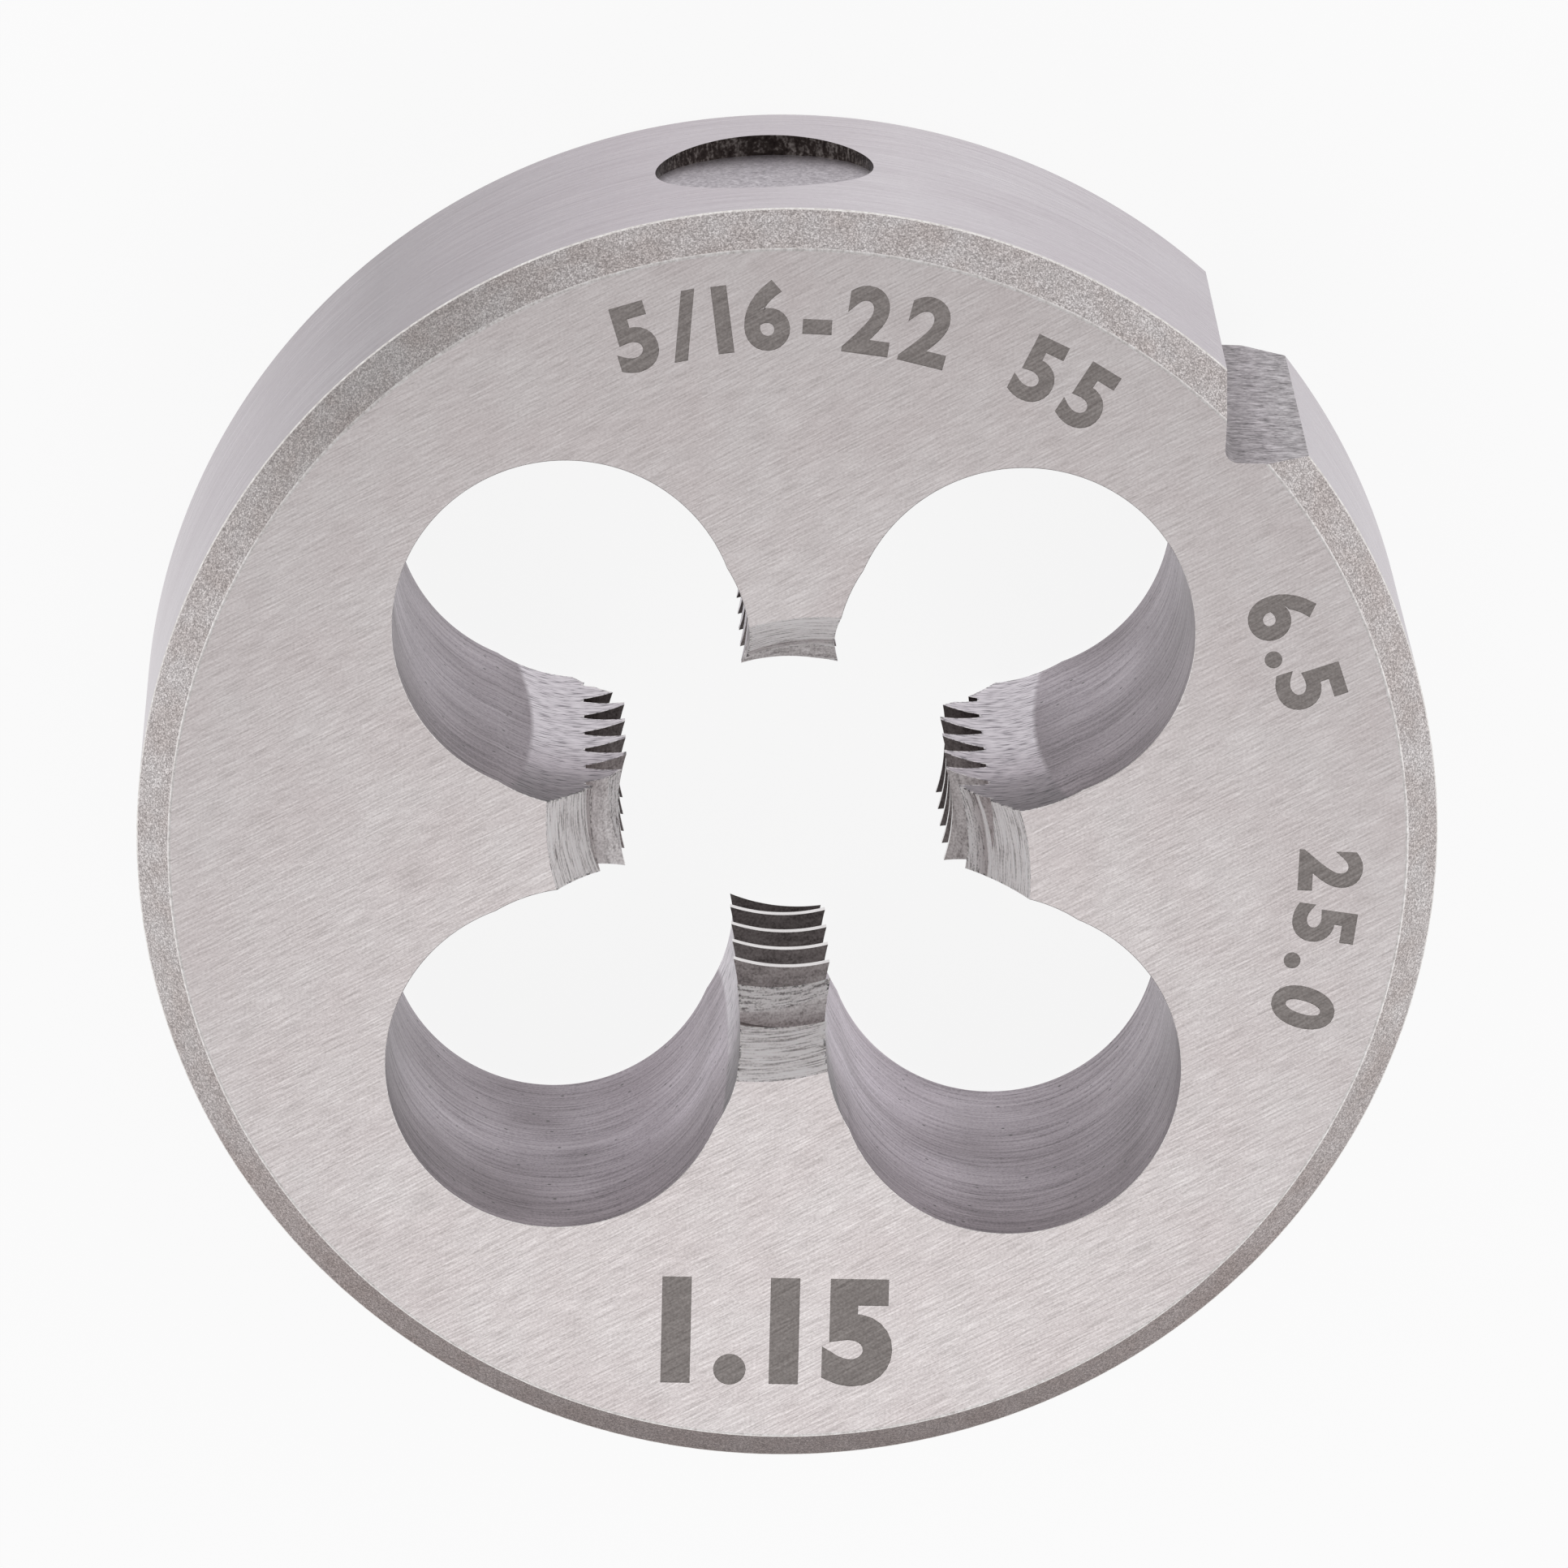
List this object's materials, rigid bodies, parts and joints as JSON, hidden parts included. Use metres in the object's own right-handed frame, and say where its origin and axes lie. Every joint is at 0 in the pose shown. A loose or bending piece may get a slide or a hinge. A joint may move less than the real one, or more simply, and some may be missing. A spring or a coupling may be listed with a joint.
{
  "type": "round threading die",
  "caption": "Round steel disc with a toothed bore between chip flutes, for cutting an outside thread on a rod.",
  "frame": {"origin": "centre of the back face, on the axis of the thread", "axes": "+Z along the thread's axis, out of the front face, where the rod enters; +X and +Y each through the middle of a land, with the rim's V groove between them"},
  "size_m": [0.025, 0.025, 0.009],
  "materials": {
    "high_speed_steel": "ground faces and rim, blasted chamfers, honed flutes"
  },
  "bodies": {
    "root": {"die_body": "high_speed_steel"}
  },
  "joints": []
}
